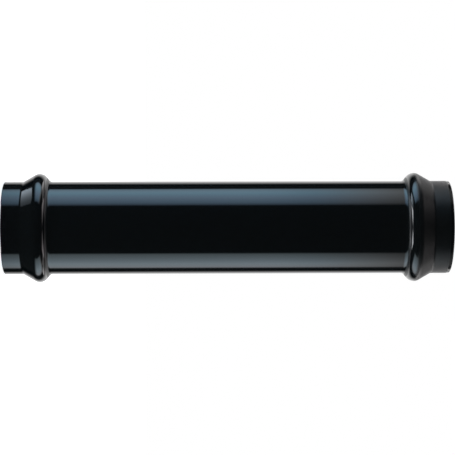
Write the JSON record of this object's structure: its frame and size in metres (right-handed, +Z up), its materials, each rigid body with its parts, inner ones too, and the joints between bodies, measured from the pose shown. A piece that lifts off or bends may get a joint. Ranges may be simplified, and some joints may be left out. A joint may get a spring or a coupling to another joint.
{
  "type": "pipe repair coupling",
  "caption": "Long black plastic slip coupling that repairs a pressure pipe, open right through, with a formed ring groove and a rubber lip seal near each mouth.",
  "frame": {"origin": "centre of the lower end face, on the tube's axis", "axes": "+Z up along the tube's axis, through the bore, the part standing on one end; the part is round, so +X and +Y are any two radii at right angles"},
  "size_m": [0.1465, 0.1466, 0.6],
  "materials": {
    "body_plastic": "gloss, extruded",
    "seal_rubber": "matt"
  },
  "bodies": {
    "root": {"coupling_body": "body_plastic", "lower_seal_ring": "seal_rubber", "upper_seal_ring": "seal_rubber"}
  },
  "joints": []
}
